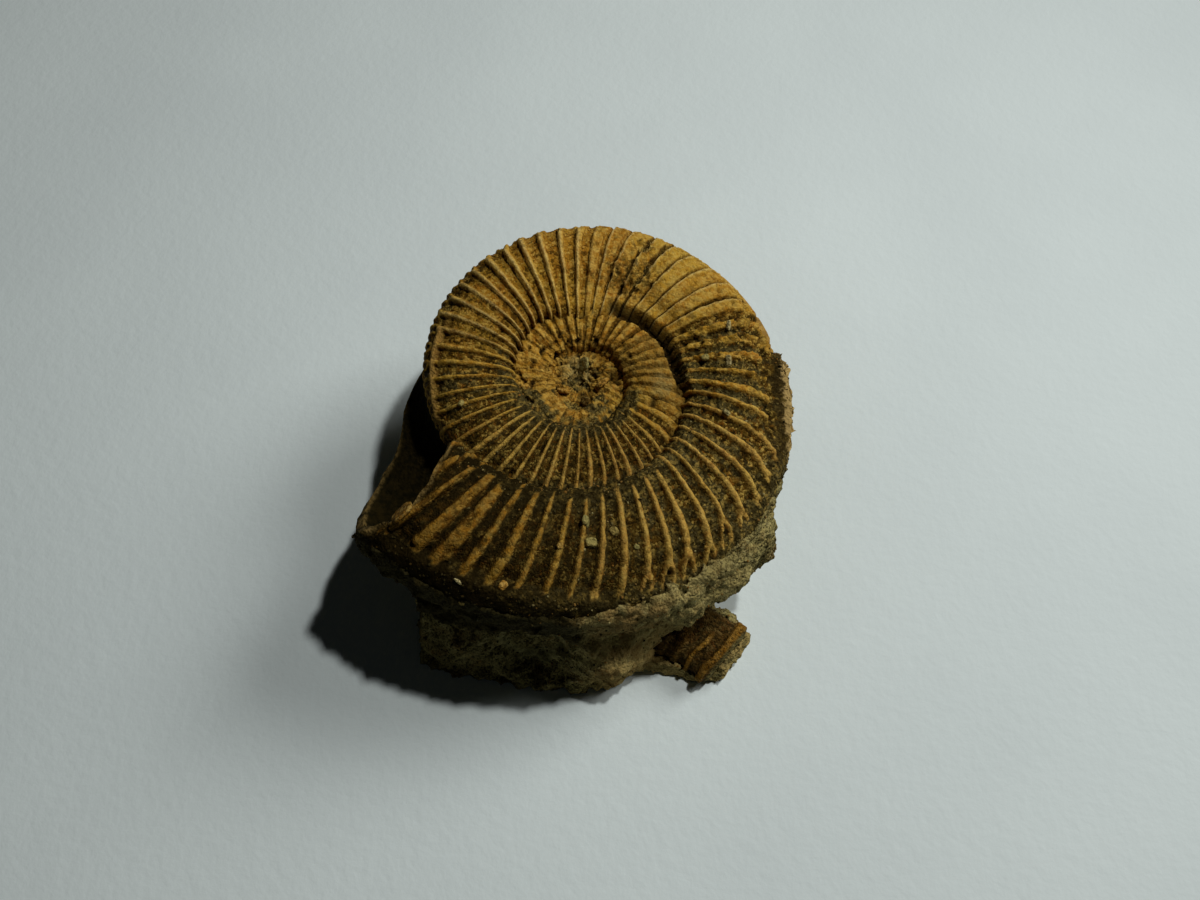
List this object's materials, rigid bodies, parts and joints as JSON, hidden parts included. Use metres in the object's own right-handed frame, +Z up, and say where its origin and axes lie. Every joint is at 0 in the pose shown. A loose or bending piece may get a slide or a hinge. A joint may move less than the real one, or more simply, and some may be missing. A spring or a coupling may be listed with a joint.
{
  "type": "fossil ammonite in matrix",
  "caption": "Ribbed, coiled fossil shell with a broken living chamber, resting on its own lump of mudstone, which also holds a piece of a second whorl; a display or collection piece.",
  "frame": {"origin": "middle of the object's footprint on the surface that it rests on", "axes": "+Z up, normal to the flat foot of the mudstone; -Y towards the lump's thick front, where the picture was taken from; the shell's living chamber opens at -X"},
  "size_m": [0.062, 0.0652, 0.0302],
  "materials": {
    "fossil_shell": "dull ochre-brown fossil shell with pale rib crests and dark grooves",
    "mudstone": "rough granular olive-brown mudstone",
    "fragment_shell": "dark brown fossil shell with orange ribs"
  },
  "bodies": {
    "root": {"ammonite": "fossil_shell", "matrix": "mudstone", "whorl_fragment": "fragment_shell"}
  },
  "joints": []
}
